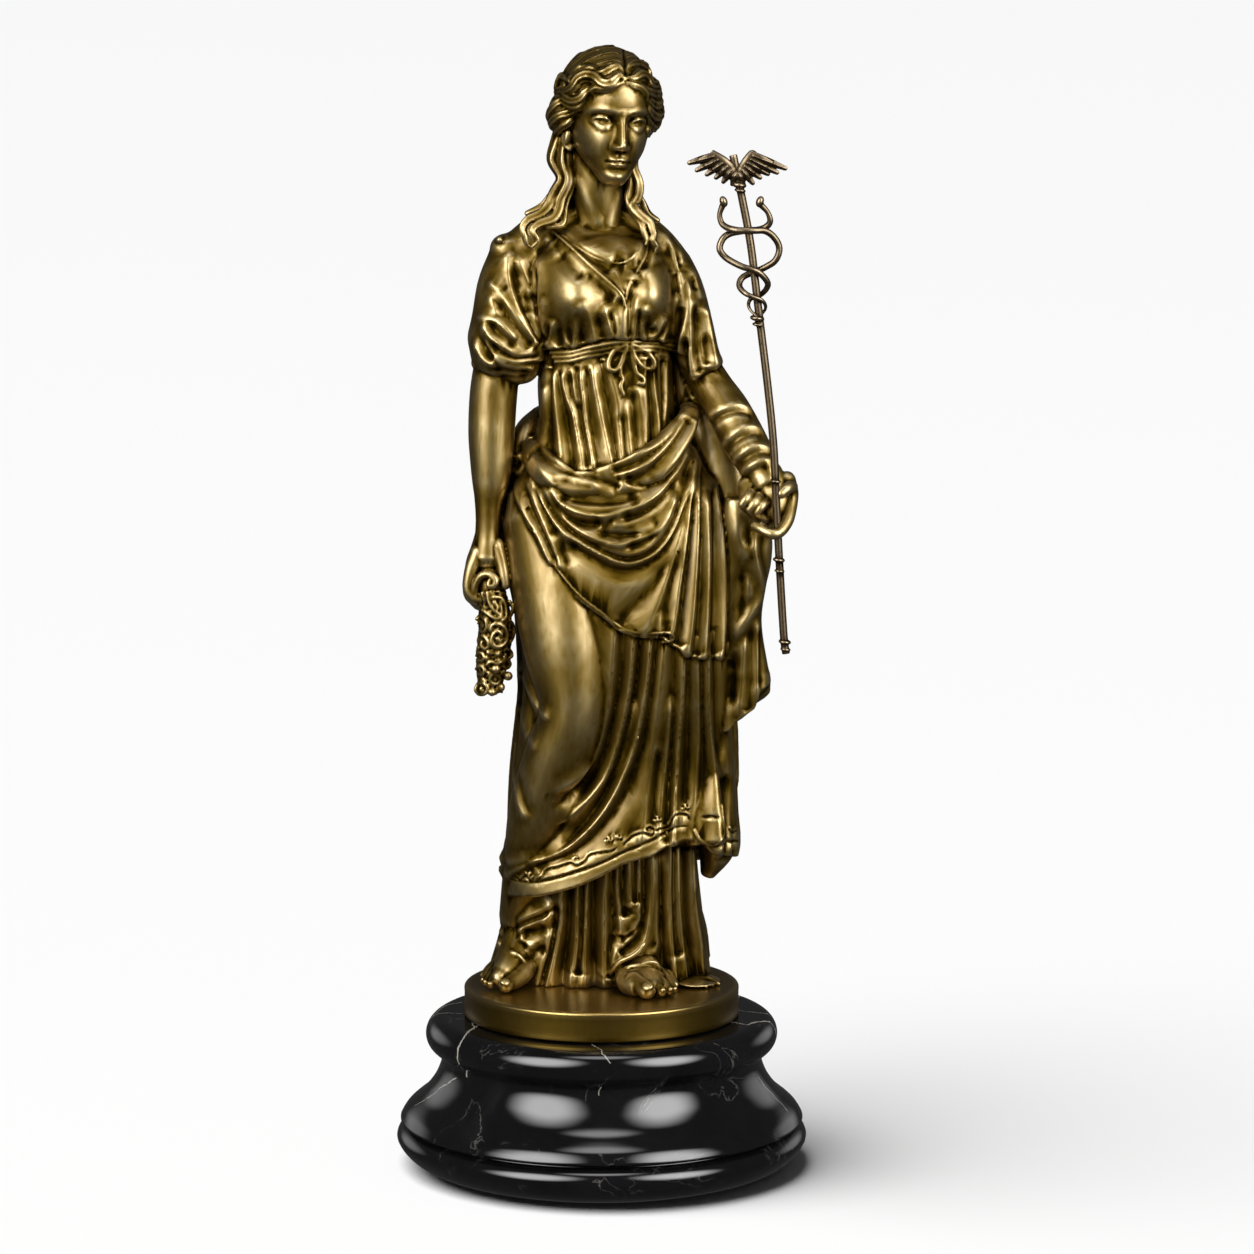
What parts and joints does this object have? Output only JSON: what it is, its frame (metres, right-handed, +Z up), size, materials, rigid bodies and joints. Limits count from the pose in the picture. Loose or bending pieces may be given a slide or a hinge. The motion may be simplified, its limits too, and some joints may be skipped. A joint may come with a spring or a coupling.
{
  "type": "bronze goddess figurine on marble socle",
  "caption": "Standing draped goddess cast in bronze, with a flower garland and a winged serpent staff, on a round bronze plinth and a turned black marble socle.",
  "frame": {"origin": "centre of the socle's underside, on the floor", "axes": "+Z up; the figure faces -Y; +X is towards the hand that holds the staff"},
  "size_m": [0.184, 0.184, 0.5],
  "materials": {
    "marble": "polished black marble with thin white veins",
    "plinth_bronze": "satin gold-brown patinated bronze, rim rubbed bright",
    "figure_bronze": "gold-brown patina, dark in the recesses and rubbed pale on the ridges",
    "staff_bronze": "browner, duller bronze patina"
  },
  "bodies": {
    "root": {"marble_socle": "marble", "bronze_plinth": "plinth_bronze", "figure": "figure_bronze", "caduceus": "staff_bronze"}
  },
  "joints": []
}
